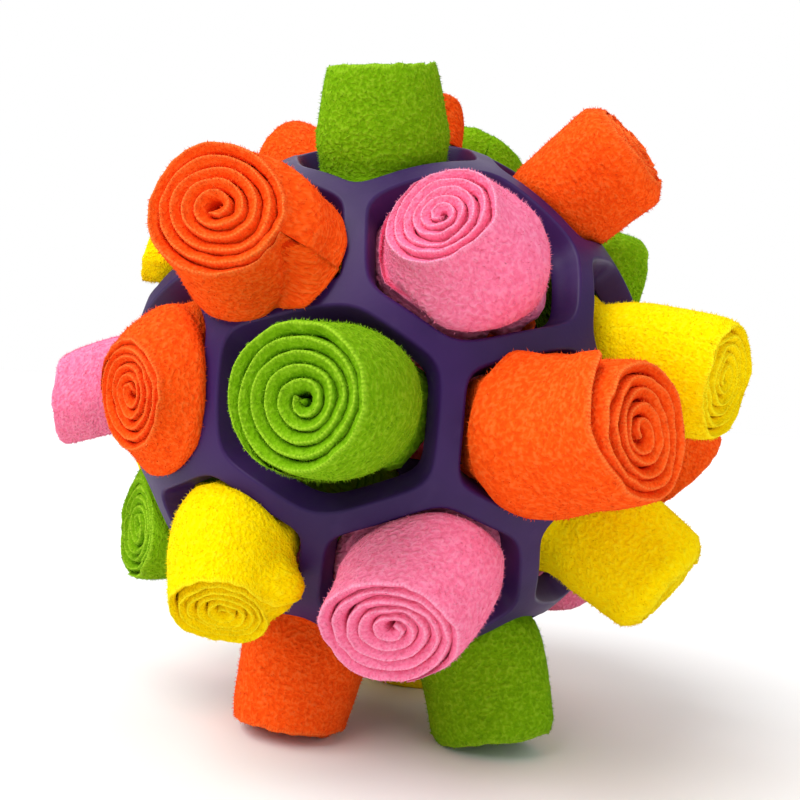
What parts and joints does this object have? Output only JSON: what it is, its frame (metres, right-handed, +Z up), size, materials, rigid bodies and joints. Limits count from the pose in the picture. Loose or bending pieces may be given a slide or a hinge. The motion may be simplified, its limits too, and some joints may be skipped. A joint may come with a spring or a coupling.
{
  "type": "dog snuffle ball",
  "caption": "Soft rubber lattice ball with a rolled strip of fleece pushed into each opening, for hiding dog treats.",
  "frame": {"origin": "on the surface that the ball rests on, under the middle of its box", "axes": "+Z up; -Y towards the side that the picture shows; +X to that side's right"},
  "size_m": [0.1465, 0.1538, 0.1393],
  "materials": {
    "rubber": "satin",
    "fleece_orange": "matte",
    "fleece_green": "matte",
    "fleece_pink": "matte",
    "fleece_yellow": "matte"
  },
  "bodies": {
    "root": {"lattice_ball": "rubber", "roll_front": "fleece_green", "roll_upper_front": "fleece_pink", "roll_right_front": "fleece_orange", "roll_lower_front": "fleece_pink", "roll_upper_left": "fleece_orange", "roll_lower_left": "fleece_yellow", "roll_left": "fleece_orange", "roll_top": "fleece_green", "roll_upper_right": "fleece_orange", "roll_right": "fleece_yellow", "roll_lower_right": "fleece_yellow", "roll_foot_front": "fleece_green", "roll_foot_left": "fleece_orange", "roll_lower_left_edge": "fleece_green", "roll_left_edge": "fleece_pink", "roll_upper_left_edge": "fleece_yellow", "roll_top_back": "fleece_orange", "roll_top_back_right": "fleece_green", "roll_upper_right_edge": "fleece_green", "roll_right_edge": "fleece_orange", "roll_lower_right_edge": "fleece_pink", "roll_foot_back": "fleece_yellow", "roll_lower_back_left": "fleece_pink", "roll_back_left_upper": "fleece_green", "roll_back_left_lower": "fleece_yellow", "roll_back_right": "fleece_yellow", "roll_back_upper_right": "fleece_orange", "roll_back_lower_right": "fleece_orange", "roll_back_upper": "fleece_yellow", "roll_back_lower": "fleece_green", "roll_back_left": "fleece_orange", "roll_back": "fleece_pink", "loose_end_top_back": "fleece_orange"}
  },
  "joints": []
}
